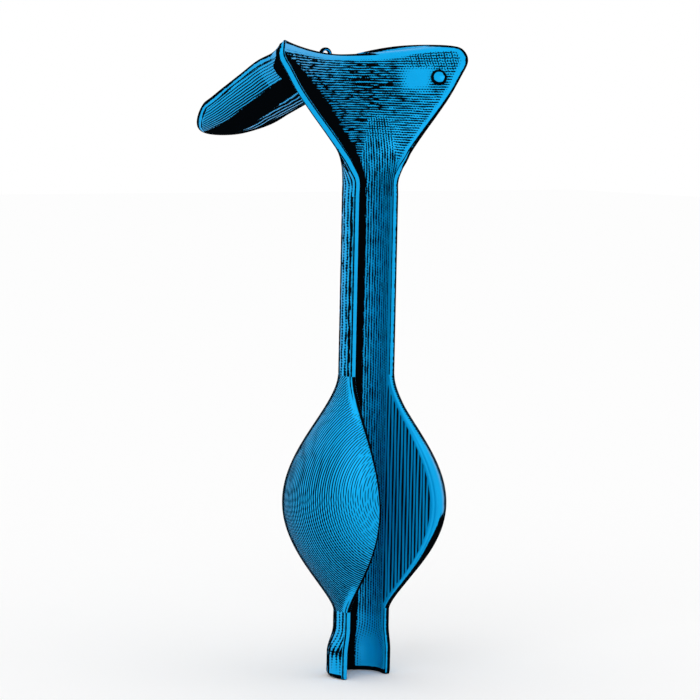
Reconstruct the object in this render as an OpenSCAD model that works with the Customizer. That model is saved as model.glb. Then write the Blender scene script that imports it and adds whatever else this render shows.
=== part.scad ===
// Weighted vaginal speculum: a gutter blade, a saddle flange and a trough handle formed from sheet,
// with a hollow, lead-filled weight round the lower end of the trough.
// The origin is the crest of the saddle on the centre plane. +Z is up, the trough opens to -Y,
// and the blade reaches back to +Y.

/* [Sheet] */
// Thickness of the sheet that the blade, saddle, trough and tail are formed from
sheet_t = 2.6; // [2.2:0.1:3]
// Radius on both corners of the sheet's free edges
edge_r = 0.8; // [0.5:0.1:1]

/* [Blade] */
// Width of the blade over its walls
blade_w = 38; // [34:1:42]
// Depth inside the blade's gutter, from its floor to its rims
blade_depth = 12.6; // [11:0.2:15]
// Reach of the blade's floor behind the crest
blade_reach = 72.5; // [66:0.5:80]
// Length of the blade's round tip
tip_len = 17.5; // [14:0.5:21]
// Slope of the blade's floor below level, in degrees
blade_tilt = 19.5; // [16:0.5:23]
// Slope of the blade's rims below level, in degrees
rim_tilt = 26.5; // [23:0.5:27]

/* [Saddle] */
// Width between the insides of the two wings' corners
wing_span = 89; // [80:1:98]
// Height of the wings above the crest
wing_rise = 4.5; // [3:0.5:7]
// Distance from the trough's axis back to the crest
crest_back = 20; // [18:0.5:22]
// Height of the saddle, from its joint with the trough to the crest
saddle_h = 53; // [49:1:58]
// Distance behind the crest at which the blade joins the saddle
root_back = 22.5; // [20.5:0.5:25]

/* [Trough] */
// Width of the trough over its walls
trough_w = 21.8; // [20:0.2:24]
// Straight wall in front of the trough's axis
lip_len = 3.7; // [2.5:0.1:5]

/* [Weight] */
// Diameter of the weight
weight_d = 62.4; // [58:0.5:68]
// Height of the weight above its widest ring
weight_top = 48.5; // [44:0.5:53]
// Height of the weight below its widest ring
weight_bottom = 41; // [37:0.5:46]
// Depth of the widest ring below the crest
weight_drop = 169; // [163:1:175]
// How far the weight's skin stands off the trough at its two ends
neck_step = 0.3; // [0.2:0.1:1.4]
// Thickness of the weight's skin
shell_t = 1.6; // [1.2:0.1:2]
// Thickness of the flat cheeks along the slot
cheek_t = 1.6; // [1.2:0.1:2]
// Distance from the centre plane to the slot's face where it leaves the trough
slot_half = 8.4; // [8.4:0.1:9.4]
// Angle that each side of the slot opens by, in degrees
slot_angle = 13.5; // [10:0.5:16]
// Clearance round the cast filling
fill_gap = 0.1; // [0.05:0.05:0.3]
// Diameter of the plug in the filling hole
plug_d = 8; // [6:0.5:10]
// Length of the plug
plug_len = 5; // [4:0.5:8]
// How far the plug stands proud of the skin
plug_proud = 0.35; // [0.2:0.05:0.6]
// Depth of the plug below the widest ring
plug_drop = 8; // [4:1:12]

/* [Tail] */
// Length of the tail below the weight
tail_len = 25.5; // [20:0.5:30]
// How far the tail's end flares out
tail_flare = 2.2; // [1.2:0.1:3]

/* [Rivet and loop] */
// Diameter of the rivet's heads
rivet_head_d = 6.2; // [5.5:0.1:7]
// Diameter of the rivet's shank
rivet_d = 3.6; // [3:0.1:4]
// Diameter of the dish in the rivet's face
rivet_dish_d = 4; // [3.2:0.1:4.4]
// Outside diameter of the tie loop
loop_d = 5.8; // [5.2:0.1:6.6]
// Bore of the tie loop
loop_bore = 3.4; // [2.8:0.1:3.8]
// Thickness of the tie loop
loop_t = 1.6; // [1.2:0.1:2]
// Distance of the tie loop from the centre plane
loop_side = 2.75; // [2:0.25:5]

/* [Hidden] */
$fn = 96;
eps = 0.01;

trough_r = trough_w / 2;
trough_in = trough_r - sheet_t;
axis_y = -crest_back;
lip_y = axis_y - lip_len;
neck_r = trough_r + neck_step;
weight_r = weight_d / 2;
weight_z = -weight_drop;
weight_top_z = weight_z + weight_top;
weight_bottom_z = weight_z - weight_bottom;
tail_z = weight_bottom_z - tail_len;
front_room = 2 * weight_d;

// The formed sheet. Stations run from the trough over the crest to the blade's tip. Each holds the
// floor's y and z, the rim's x, y and z, the rim's lean in degrees, two handle lengths of the
// section's curve, and how far the section keeps the trough's own U form.
blade_in = blade_w / 2 - sheet_t;
half_span = wing_span / 2;
joint_z = -saddle_h;
rim_y = lip_y + edge_r;
floor_y = axis_y + trough_in;
root_z = -15.4;
root_rim = [root_back + blade_depth * sin(blade_tilt), root_z + blade_depth * cos(blade_tilt)];
tip_start = blade_reach - tip_len;
// How far the tip rises off the blade's slope, at the blade's reach and at the station beyond it
tip_lift = 3.2;
beyond_lift = 9;
// Straight stretch of the trough's form on both sides of its joint with the saddle
joint_ease = 6;
// Handle length of a quarter circle
ROUND = 0.5523;

function blade_floor(y) = [y, root_z - (y - root_back) * tan(blade_tilt)];
function blade_rim(y) = [blade_in, y, root_rim[1] - (y - root_rim[0]) * tan(rim_tilt)];
function blade_station(y, lift = 0) =
    let (f = blade_floor(y), r = blade_rim(y + blade_depth * sin(blade_tilt)))
    [f[0], f[1] + lift, r[0], r[1], r[2] + lift / 2, 0, ROUND, ROUND, 0];
function trough_station(z) = [floor_y, z, trough_in, rim_y, z, 0, ROUND, ROUND, 1];

STATIONS = [
    trough_station(joint_z - joint_ease),
    trough_station(joint_z),
    trough_station(joint_z + joint_ease),
    [floor_y + 0.1, -0.77 * saddle_h, trough_in + 2.1, rim_y, -0.80 * saddle_h, 15, 0.55, 0.5, 0.5],
    [floor_y + 0.4, -0.65 * saddle_h, trough_in + 7.2, rim_y, -0.67 * saddle_h, 32, 0.5, 0.5, 0],
    [floor_y + 1.1, -0.52 * saddle_h, 0.50 * half_span, rim_y, -0.53 * saddle_h, 44, 0.45, 0.5, 0],
    [floor_y + 2.3, -0.38 * saddle_h, 0.66 * half_span, rim_y, -0.39 * saddle_h, 50, 0.42, 0.5, 0],
    [floor_y + 4.1, -0.25 * saddle_h, 0.81 * half_span, rim_y, -0.25 * saddle_h, 54, 0.38, 0.5, 0],
    [-0.27 * crest_back, -0.12 * saddle_h, 0.93 * half_span, rim_y, -0.11 * saddle_h, 56, 0.34, 0.55, 0],
    [-0.16 * crest_back, -0.045 * saddle_h, half_span, rim_y + 0.3, -0.25 * wing_rise, 58, 0.3, 0.6, 0],
    [-0.09 * crest_back, -0.014 * saddle_h, 0.98 * half_span, rim_y + 1.5, 0.5 * wing_rise, 58, 0.27, 0.62, 0],
    [-0.02 * crest_back, -0.001 * saddle_h, 0.93 * half_span, rim_y + 3.8, 0.88 * wing_rise, 57, 0.25, 0.65, 0],
    [0.07 * crest_back, -0.002 * saddle_h, 0.84 * half_span, -0.70 * crest_back, wing_rise, 53, 0.25, 0.67, 0],
    [0.22 * root_back, 0.15 * root_z, 0.68 * half_span, -0.28 * crest_back, 0.86 * wing_rise, 42, 0.3, 0.6, 0],
    [0.43 * root_back, 0.43 * root_z, 0.53 * half_span, 0.18 * root_back, 0.48 * wing_rise, 22, 0.42, 0.55, 0],
    [0.68 * root_back, 0.74 * root_z, blade_in + 2.1, 0.65 * root_back, -0.08 * wing_rise, 7, 0.52, ROUND, 0],
    blade_station(root_back),
    blade_station(root_back + (tip_start - root_back) / 3),
    blade_station(root_back + (tip_start - root_back) * 2 / 3),
    blade_station(tip_start),
    blade_station(blade_reach, lift = tip_lift),
    blade_station(blade_reach + tip_len, lift = beyond_lift),
];
S_TROUGH = 1;
S_ROOT = 16;
S_TIP = 19;

// Smooth interpolation between stations
function hermite(a, b, c, d, t) =
    0.5 * ((2 * b) + (c - a) * t + (2 * a - 5 * b + 4 * c - d) * t * t + (3 * b - a - 3 * c + d) * t * t * t);
function station(p) =
    let (i = min(max(floor(p), 1), len(STATIONS) - 3))
    hermite(STATIONS[i - 1], STATIONS[i], STATIONS[i + 1], STATIONS[i + 2], p - i);

// A half section as [x, height above the floor], t from 0 on the floor to 1 on the rim
function curve_point(w, h, lean, k1, k2, t) =
    let (u = 1 - t,
         p1 = [k1 * w, 0],
         p2 = [w - k2 * h * sin(lean), h - k2 * h * cos(lean)])
    3 * u * u * t * p1 + 3 * u * t * t * p2 + t * t * t * [w, h];
function u_point(r, h, t) =
    let (arc = r * PI / 2, along = t * (arc + h - r), a = along / r * 180 / PI)
    along < arc ? [r * sin(a), r - r * cos(a)] : [r, r + along - arc];

// A point of the sheet's inner face: station p, t from -1 on the left rim to 1 on the right rim
function sheet_at(s, t) =
    let (rise = [s[3] - s[0], s[4] - s[1]],
         h = norm(rise),
         c = curve_point(s[2], h, s[5], s[6], s[7], abs(t)),
         q = s[8] > 0 ? (1 - s[8]) * c + s[8] * u_point(s[2], max(h, s[2] + eps), abs(t)) : c)
    [sign(t) * q[0], s[0] + rise[0] * q[1] / h, s[1] + rise[1] * q[1] / h];
function sheet(p, t) = sheet_at(station(p), t);
function unit(v) = v / norm(v);
// The way from the sheet's inner face to its outer face, evened out over a short span of stations so
// that the outer face doesn't fold where the sheet rolls over
NORMAL_SPAN = 0.45;
function outward(p, t) =
    let (d = 0.02, s = station(p), ahead = sheet(p + NORMAL_SPAN, t) - sheet(p - NORMAL_SPAN, t))
    unit(cross(ahead, sheet_at(s, t + d) - sheet_at(s, t - d)));

// Rings are [station, t at the rim]
SIDE = 12;
CORNER = 3;
STEP = 3;
// The tip's rings turn through a quarter and stop a little short of it. The power sets how blunt it is.
TIP_RINGS = 14;
TIP_SHORT = 0.35;
TIP_POWER = 1.4;
function tip_ring(i) =
    let (a = 90 * i / (TIP_RINGS + TIP_SHORT)) [S_TIP + sin(a), 1 - pow(a / 90, TIP_POWER)];
SADDLE_RINGS = [for (i = [0:(S_ROOT - S_TROUGH) * STEP]) [S_TROUGH + i / STEP, 1]];
BLADE_RINGS = concat(
    [for (i = [0:(S_TIP - S_ROOT) * STEP]) [S_ROOT + i / STEP, 1]],
    [for (i = [1:TIP_RINGS]) tip_ring(i)]);

// The rounded free edge on one side, from the inner face to the outer face
function edge_points(rings, i, side) =
    let (r = rings[i],
         a = i > 0 ? rings[i - 1] : 2 * r - rings[1],
         b = i < len(rings) - 1 ? rings[i + 1] : 2 * r - rings[i - 1],
         p = sheet(r[0], side * r[1]),
         m = outward(r[0], side * r[1]),
         along = sheet(b[0], side * b[1]) - sheet(a[0], side * a[1]),
         e = unit(side * cross(m, along)))
    concat(
        [for (k = [1:CORNER]) let (g = 90 * k / CORNER) p + edge_r * (m * (1 - cos(g)) + e * sin(g))],
        [for (k = [0:CORNER - 1]) let (g = 90 * k / CORNER)
            p + m * (sheet_t - edge_r + edge_r * sin(g)) + e * edge_r * cos(g)]);
function reversed(list) = [for (i = [len(list) - 1:-1:0]) list[i]];
function ring_points(rings, i) =
    let (r = rings[i],
         inner = [for (k = [-SIDE:SIDE]) sheet(r[0], r[1] * k / SIDE)],
         outer = [for (k = [SIDE:-1:-SIDE]) let (t = r[1] * k / SIDE)
             sheet(r[0], t) + sheet_t * outward(r[0], t)])
    concat(inner, edge_points(rings, i, 1), outer, reversed(edge_points(rings, i, -1)));

// Skin over loops of points. The first and last close in strips from each point to its partner across
// the sheet.
module skin(loops) {
    m = len(loops[0]);
    last = len(loops) - 1;
    points = [for (loop = loops) each loop];
    sides = [for (i = [0:last - 1]) for (k = [0:m - 1])
        let (a = i * m + k, b = i * m + (k + 1) % m) each [[a, b + m, b], [a, a + m, b + m]]];
    // Partner of point k across the sheet
    function across(k) = (4 * SIDE + 1 + 2 * CORNER - k + m) % m;
    half = 2 * SIDE + CORNER;
    ends = [for (k = [-CORNER:half - 1])
        let (a = (k + m) % m, b = (k + 1 + m) % m, c = across(b), d = across(a))
        each concat(
            a == d ? [] : [[a, c, d]],
            b == c ? [] : [[a, b, c]])];
    far = [for (f = ends) [last * m + f[0], last * m + f[2], last * m + f[1]]];
    polyhedron(points, concat(sides, ends, far));
}

module formed(rings) {
    skin([for (i = [0:len(rings) - 1]) ring_points(rings, i)]);
}
module blade() {
    color("deepskyblue") formed(BLADE_RINGS);
}
module saddle_skin() {
    formed(SADDLE_RINGS);
}

// Frames on the sheet: the local +Z leaves the inner face towards the front
module on_sheet(p, t) {
    at = sheet(p, t);
    n = -outward(p, t);
    translate(at) rotate([0, acos(n[2]), atan2(n[1], n[0])]) children();
}
RIVET_P = 7.7;
RIVET_T = 0.785;
rivet_head_h = 0.9;
module rivet_place() {
    on_sheet(RIVET_P, RIVET_T) children();
}
module saddle_flange() {
    seat_d = rivet_head_d + 2 * fill_gap;
    color("deepskyblue") difference() {
        saddle_skin();
        rivet_place() translate([0, 0, -3 * sheet_t]) cylinder(d = rivet_d, h = 4 * sheet_t);
        rivet_place() cylinder(d = seat_d, h = sheet_t);
        rivet_place() translate([0, 0, -3 * sheet_t]) cylinder(d = seat_d, h = 2 * sheet_t);
    }
}
module wing_rivet() {
    dish_r = rivet_dish_d / 2;
    bowl_r = 2 * dish_r;
    color("deepskyblue") rivet_place() difference() {
        union() {
            translate([0, 0, -sheet_t - eps]) cylinder(d = rivet_d, h = sheet_t + 2 * eps);
            cylinder(d = rivet_head_d, h = rivet_head_h);
            translate([0, 0, -sheet_t - rivet_head_h]) cylinder(d = rivet_head_d, h = rivet_head_h);
        }
        translate([0, 0, rivet_head_h + sqrt(bowl_r * bowl_r - dish_r * dish_r)]) sphere(bowl_r);
    }
}

// The trough's U in plan, grown by the given amount, with rounded lips
module u_plan(grow = 0) {
    r = trough_r + grow;
    q = trough_in - grow;
    lip = lip_len + grow;
    t = r - q;
    translate([0, axis_y]) {
        difference() {
            circle(r);
            circle(q);
            translate([-2 * r, -4 * r]) square(4 * r);
        }
        for (side = [0, 1]) mirror([side, 0]) {
            translate([q, edge_r - lip]) square([t, lip - edge_r]);
            translate([q + edge_r, -lip]) square([t - 2 * edge_r, lip]);
            for (x = [q + edge_r, r - edge_r]) translate([x, edge_r - lip]) circle(edge_r);
        }
    }
}
// The trough's whole outline in plan with its channel filled, up to its lips
module u_full(grow = 0) {
    r = trough_r + grow;
    lip = lip_len + grow;
    translate([0, axis_y]) {
        circle(r);
        translate([-r, -lip]) square([2 * r, lip]);
    }
}
module trough() {
    color("deepskyblue") translate([0, 0, weight_bottom_z])
        linear_extrude(joint_z - weight_bottom_z) u_plan();
}

// The tail is the trough's own loop carried down. Its wall flares out, less so at the lips than at the
// back and sides, and its end is rounded.
FLARE_FROM = 0.75;
FLARE_TO = 0.35;
FLARE_STEPS = 8;
LIP_FLARE = 0.5;
LIP_TOE = 0.25;
FADE_FROM = 0.62;
FADE_TO = 0.95;
TOE_STEPS = 5;
toe_r = 2;
toe_in = 0.35;
TAIL_LOOP = ring_points([[S_TROUGH, 1], [S_TROUGH + 1 / STEP, 1]], 0);
HALF_LOOP = len(TAIL_LOOP) / 2;
function smooth(x) = let (y = min(max(x, 0), 1)) y * y * (3 - 2 * y);
function is_outer(k) = k >= HALF_LOOP - CORNER && k < 2 * HALF_LOOP - CORNER;
function lessened(k, lip_share) =
    let (t = min(abs(k % HALF_LOOP - SIDE) / SIDE, 1))
    1 - (1 - lip_share) * smooth((t - FADE_FROM) / (FADE_TO - FADE_FROM));
// Levels are [z, flare, turn round the toe], from the end up to the trough
TAIL_LEVELS = concat(
    [for (i = [TOE_STEPS:-1:0]) let (a = 90 * i / TOE_STEPS) [tail_z + toe_r * (1 - sin(a)), tail_flare, a]],
    [for (i = [FLARE_STEPS:-1:0]) let (x = i / FLARE_STEPS)
        [tail_z + tail_len * (FLARE_FROM + (FLARE_TO - FLARE_FROM) * x), tail_flare * smooth(x), 0]],
    [[weight_bottom_z, 0, 0]]);
function tail_point(k, level) =
    let (p = TAIL_LOOP[k],
         way = unit([p[0], max(p[1] - axis_y, 0)]),
         toe = (is_outer(k) ? -toe_r : toe_in) * (1 - cos(level[2])),
         out = lessened(k, LIP_FLARE) * level[1] + lessened(k, LIP_TOE) * toe)
    [p[0] + way[0] * out, p[1] + way[1] * out, level[0]];
module tail_spout() {
    color("deepskyblue")
        skin([for (level = TAIL_LEVELS) [for (k = [0:len(TAIL_LOOP) - 1]) tail_point(k, level)]]);
}

// The weight's outline, u from 0 at its widest ring to -1 and 1 at its lower and upper neck
STEPS = 14;
SWELL_BELOW = 1.4;
SWELL_ABOVE = 1.8;
function swell(u) = pow(1 - u * u, u < 0 ? SWELL_BELOW : SWELL_ABOVE);
function weight_level(u) = weight_z + u * (u < 0 ? weight_bottom : weight_top);
function weight_side(inset) = [for (i = [-STEPS:STEPS]) let (u = i / STEPS)
    [neck_r + (weight_r - neck_r) * swell(u) - inset, weight_level(u)]];
// The weight's front in profile swells from the trough's lips to the slot's edge on the widest ring
slot_slope = tan(slot_angle);
slot_start = slot_half - lip_len * slot_slope;
edge_a = 1 + slot_slope * slot_slope;
edge_b = slot_start * slot_slope;
edge_c = slot_start * slot_start - weight_r * weight_r;
front_reach = (sqrt(edge_b * edge_b - edge_a * edge_c) - edge_b) / edge_a;
function weight_front(inset) = [for (i = [-STEPS:STEPS]) let (u = i / STEPS)
    [inset - lip_len - (front_reach - lip_len) * swell(u), weight_level(u)]];
module weight_solid(inset = 0) {
    translate([0, axis_y, 0]) intersection() {
        rotate_extrude()
            polygon(concat([[0, weight_bottom_z]], weight_side(inset), [[0, weight_top_z]]));
        translate([-weight_d, 0, 0]) rotate([90, 0, 90]) linear_extrude(2 * weight_d)
            polygon(concat([[weight_d, weight_bottom_z]], weight_front(inset), [[weight_d, weight_top_z]]));
    }
}
// The slot in plan, grown by the given amount on both sides
module slot_plan(grow = 0) {
    near = slot_start + grow / cos(slot_angle);
    far = near + front_room * slot_slope;
    translate([0, axis_y]) polygon([[near, 0], [far, -front_room], [-far, -front_room], [-near, 0]]);
}
// Everything over the weight's height, with some slack at both ends
SLACK = 1;
module over_weight() {
    translate([0, 0, weight_bottom_z - SLACK])
        linear_extrude(weight_top + weight_bottom + 2 * SLACK) children();
}
module in_slot(grow = 0) {
    over_weight() slot_plan(grow);
}
module trough_room(grow = 0) {
    over_weight() u_full(grow);
}
module half_space(side) {
    over_weight() translate([side < 0 ? -2 * weight_d : 0, axis_y - weight_d]) square(2 * weight_d);
}
PLUG_TURN = 40;
module plug_place() {
    translate([0, axis_y, weight_z - plug_drop]) rotate([0, 90, PLUG_TURN]) children();
}
module plug_hole(extra = 0) {
    plug_place() translate([0, 0, weight_r - plug_len]) cylinder(d = plug_d + 2 * extra, h = 2 * plug_len);
}
module shell_half(side) {
    color("deepskyblue") intersection() {
        half_space(side);
        difference() {
            weight_solid();
            weight_solid(shell_t);
            in_slot();
            trough_room();
            plug_hole(fill_gap);
        }
    }
}
module weight_shell_left() { shell_half(-1); }
module weight_shell_right() { shell_half(1); }
module cheek(side) {
    color("deepskyblue") intersection() {
        half_space(side);
        difference() {
            intersection() {
                weight_solid(shell_t);
                in_slot(cheek_t);
            }
            in_slot();
            trough_room();
        }
    }
}
module slot_cheek_left() { cheek(-1); }
module slot_cheek_right() { cheek(1); }
// The filling stops short of the upper neck
FILL_SHORT = 8;
module lead_core() {
    color("dimgray") difference() {
        weight_solid(shell_t + fill_gap);
        in_slot(cheek_t + fill_gap);
        trough_room(fill_gap);
        plug_hole(fill_gap);
        translate([0, axis_y, weight_top_z - FILL_SHORT]) cylinder(r = weight_r, h = 2 * FILL_SHORT);
    }
}
module filler_plug() {
    color("deepskyblue") intersection() {
        plug_hole();
        weight_solid(-plug_proud);
    }
}
LOOP_P = 13.05;
loop_seat = station(LOOP_P);
loop_foot = sheet(LOOP_P, -loop_side / (3 * loop_seat[6] * loop_seat[2]));
module tie_loop() {
    color("deepskyblue") difference() {
        translate(loop_foot + [0, 0, loop_d / 2 - edge_r]) rotate([90, 0, 0]) difference() {
            union() {
                cylinder(d = loop_d, h = loop_t, center = true);
                translate([-loop_d / 4, -loop_d / 2, -loop_t / 2]) cube([loop_d / 2, loop_d / 4, loop_t]);
            }
            cylinder(d = loop_bore, h = 2 * loop_t, center = true);
        }
        saddle_skin();
    }
}

blade();
saddle_flange();
trough();
tail_spout();
weight_shell_left();
weight_shell_right();
slot_cheek_left();
slot_cheek_right();
lead_core();
filler_plug();
wing_rivet();
tie_loop();
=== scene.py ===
import math

import bpy
import numpy as np
from mathutils import Matrix, Vector


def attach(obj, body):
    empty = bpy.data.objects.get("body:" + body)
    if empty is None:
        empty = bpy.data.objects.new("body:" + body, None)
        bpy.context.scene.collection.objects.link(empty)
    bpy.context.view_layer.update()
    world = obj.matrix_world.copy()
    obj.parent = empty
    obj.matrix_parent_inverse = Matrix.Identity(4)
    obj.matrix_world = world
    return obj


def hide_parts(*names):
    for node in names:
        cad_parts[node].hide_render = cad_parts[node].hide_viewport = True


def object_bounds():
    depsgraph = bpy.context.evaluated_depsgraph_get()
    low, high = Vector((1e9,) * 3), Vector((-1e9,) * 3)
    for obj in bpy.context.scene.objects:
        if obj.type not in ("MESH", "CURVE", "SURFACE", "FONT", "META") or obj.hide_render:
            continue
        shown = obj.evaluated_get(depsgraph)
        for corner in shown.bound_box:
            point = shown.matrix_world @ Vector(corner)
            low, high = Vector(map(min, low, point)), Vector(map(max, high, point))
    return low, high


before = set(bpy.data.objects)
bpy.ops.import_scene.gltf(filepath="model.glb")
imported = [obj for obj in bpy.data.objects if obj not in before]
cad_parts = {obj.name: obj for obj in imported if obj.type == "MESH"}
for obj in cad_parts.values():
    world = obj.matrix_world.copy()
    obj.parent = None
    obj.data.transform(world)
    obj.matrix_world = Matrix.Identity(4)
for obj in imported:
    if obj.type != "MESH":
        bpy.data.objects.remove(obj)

bl_info = {
    "name": "Weighted Vaginal Speculum",
    "version": (1, 0, 0),
    "blender": (4, 5, 0),
    "location": "View3D > Sidebar > Speculum",
    "description": "Dresses the packed frame of a weighted speculum in blue lacquered, line-engraved steel",
    "category": "Add Mesh",
}

# The frame's box, kept before any piece is added
CAD_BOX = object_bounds()
MM = 0.001


# Sizes and colours that a user would change

def length(name, description, millimetres):
    """A length, given in millimetres and kept in metres."""
    return bpy.props.FloatProperty(
        name=name, description=description, default=millimetres * MM, min=0.0,
        unit="LENGTH", subtype="DISTANCE", precision=5)


def angle(name, description, degrees):
    """An angle, given in degrees and kept in radians."""
    return bpy.props.FloatProperty(
        name=name, description=description, default=math.radians(degrees),
        subtype="ANGLE", unit="ROTATION")


def colour(name, description, hex_value):
    """An sRGB hex colour, such as 0A9CDC."""
    return bpy.props.StringProperty(name=name, description=description, default=hex_value)


class SpeculumSheet(bpy.types.PropertyGroup):
    """The sheet that the blade, saddle, trough and tail are formed from."""
    thickness: length("Sheet thickness", "Thickness of the formed sheet", 2.6)
    edge_r: length("Edge radius", "Radius on both corners of the sheet's free edges", 0.8)
    blade_w: length("Blade width", "Width of the blade over its walls", 38)
    blade_depth: length("Blade depth", "Depth of the blade's gutter", 12.6)
    # Reach, span and rise are a hair under the frame's, so that no rounder form leaves its box
    blade_reach: length("Blade reach", "Reach of the blade's floor behind the crest", 72.48)
    tip_len: length("Tip length", "Length of the blade's round tip", 17.5)
    blade_tilt: angle("Blade slope", "Slope of the blade's floor below level", 19.5)
    rim_tilt: angle("Rim slope", "Slope of the blade's rims below level", 26.5)
    wing_span: length("Wing span", "Width between the insides of the two wings' corners", 88.88)
    wing_rise: length("Wing rise", "Height of the wings above the crest", 4.48)
    crest_back: length("Crest setback", "Distance from the trough's axis back to the crest", 20)
    saddle_h: length("Saddle height", "Height from the joint with the trough to the crest", 53)
    root_back: length("Root setback", "Distance behind the crest of the blade's joint", 22.5)
    trough_w: length("Trough width", "Width of the trough over its walls", 21.8)
    lip_len: length("Lip length", "Straight wall in front of the trough's axis", 3.7)


class SpeculumWeight(bpy.types.PropertyGroup):
    """The hollow weight round the lower end of the trough, and the tail below it."""
    diameter: length("Weight diameter", "Diameter of the weight at its widest ring", 62.4)
    top: length("Height above", "Height of the weight above its widest ring", 48.5)
    bottom: length("Height below", "Height of the weight below its widest ring", 41)
    drop: length("Weight drop", "Depth of the widest ring below the crest", 169)
    shell_t: length("Skin thickness", "Thickness of the weight's skin", 1.6)
    cheek_t: length("Cheek thickness", "Thickness of the flat cheeks along the slot", 1.6)
    slot_half: length("Slot half width", "From the centre plane to the slot's face at the lips", 8.4)
    slot_angle: angle("Slot angle", "Angle that each side of the slot opens by", 13.5)
    slot_edge: length("Slot edge", "Reach of the rounding along the slot's edges", 3.0)
    plug_d: length("Plug diameter", "Diameter of the plug in the filling hole", 8)
    plug_proud: length("Plug stand", "How far the plug stands proud of the skin", 0.3)
    plug_turn: angle("Plug turn", "Turn of the plug from the right towards the back", 40)
    plug_low: length("Plug drop", "Depth of the plug below the widest ring", 8)
    tail_len: length("Tail length", "Length of the tail below the weight", 25.5)
    tail_flare: length("Tail flare", "How far the tail's end flares out", 2.2)
    toe_r: length("Toe radius", "Rounding on the outside of the tail's end", 2.0)


class SpeculumFittings(bpy.types.PropertyGroup):
    """The rivet in the right wing and the tie loop behind the crest."""
    rivet_head_d: length("Rivet head", "Diameter of the rivet's heads", 6.2)
    rivet_head_h: length("Rivet stand", "Height of the rivet's heads", 0.9)
    rivet_dish_d: length("Rivet dish", "Diameter of the dish in the rivet's face", 4.0)
    loop_d: length("Loop diameter", "Outside diameter of the tie loop", 5.8)
    loop_bore: length("Loop bore", "Bore of the tie loop", 3.4)
    loop_t: length("Loop thickness", "Thickness of the tie loop", 1.6)
    loop_side: length("Loop offset", "Distance of the tie loop left of the centre plane", 2.75)


class SpeculumFinish(bpy.types.PropertyGroup):
    """The blue lacquer and the engraved line work, whose black paints the light and shade."""
    blue: colour("Lacquer", "Colour of the lacquer over the brushed steel", "00AEF0")
    deep: colour("Deep lacquer", "Colour of the lacquer where it lies thicker", "008ACA")
    # The black of the lines and solid patches is painted shade and shadow, and the dark joint round the
    # plug
    ink: colour("Line filling", "Colour of the enamel that fills the engraved lines", "04070A")
    lead: colour("Lead", "Colour of the cast filling", "6E7275")
    line_gap: length("Line spacing", "Distance between the engraved lines", 1.02)
    dash: length("Dash length", "Length of one dash of a broken line", 1.05)


class SpeculumStage(bpy.types.PropertyGroup):
    """The floor, the light and the camera."""
    azimuth: angle("Camera azimuth", "Turn of the camera round the object, towards its left", -40)
    elevation: angle("Camera elevation", "Height of the camera above the horizon", 5)
    roll: angle("Camera roll", "Roll of the camera about its own axis", 1.2)
    distance: length("Camera distance", "Distance of the camera from its target", 1150)
    target_drop: length("Target drop", "Depth of the camera's target below the crest", 115)
    view_w: length("View width", "Width of the view at the target", 264.6)
    aside: length("Camera shift left", "How far the camera stands left of its target", 6.6)
    above: length("Camera shift up", "How far the camera stands above its target", 3.8)
    floor: colour("Floor", "Colour of the floor", "FDFDFD")


GROUPS = {
    "speculum_sheet": SpeculumSheet,
    "speculum_weight": SpeculumWeight,
    "speculum_fittings": SpeculumFittings,
    "speculum_finish": SpeculumFinish,
    "speculum_stage": SpeculumStage,
}


# Shape helpers

def ramp(value, start, end):
    """0 before start, 1 after end and smooth in between, also where end lies before start."""
    x = np.clip((value - start) / (end - start), 0, 1)
    return x * x * (3 - 2 * x)


def unit(vectors):
    return vectors / np.linalg.norm(vectors, axis=-1, keepdims=True)


def table(keys, values, at):
    """Straight-line reading of a short table."""
    return np.interp(at, keys, values)


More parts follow.
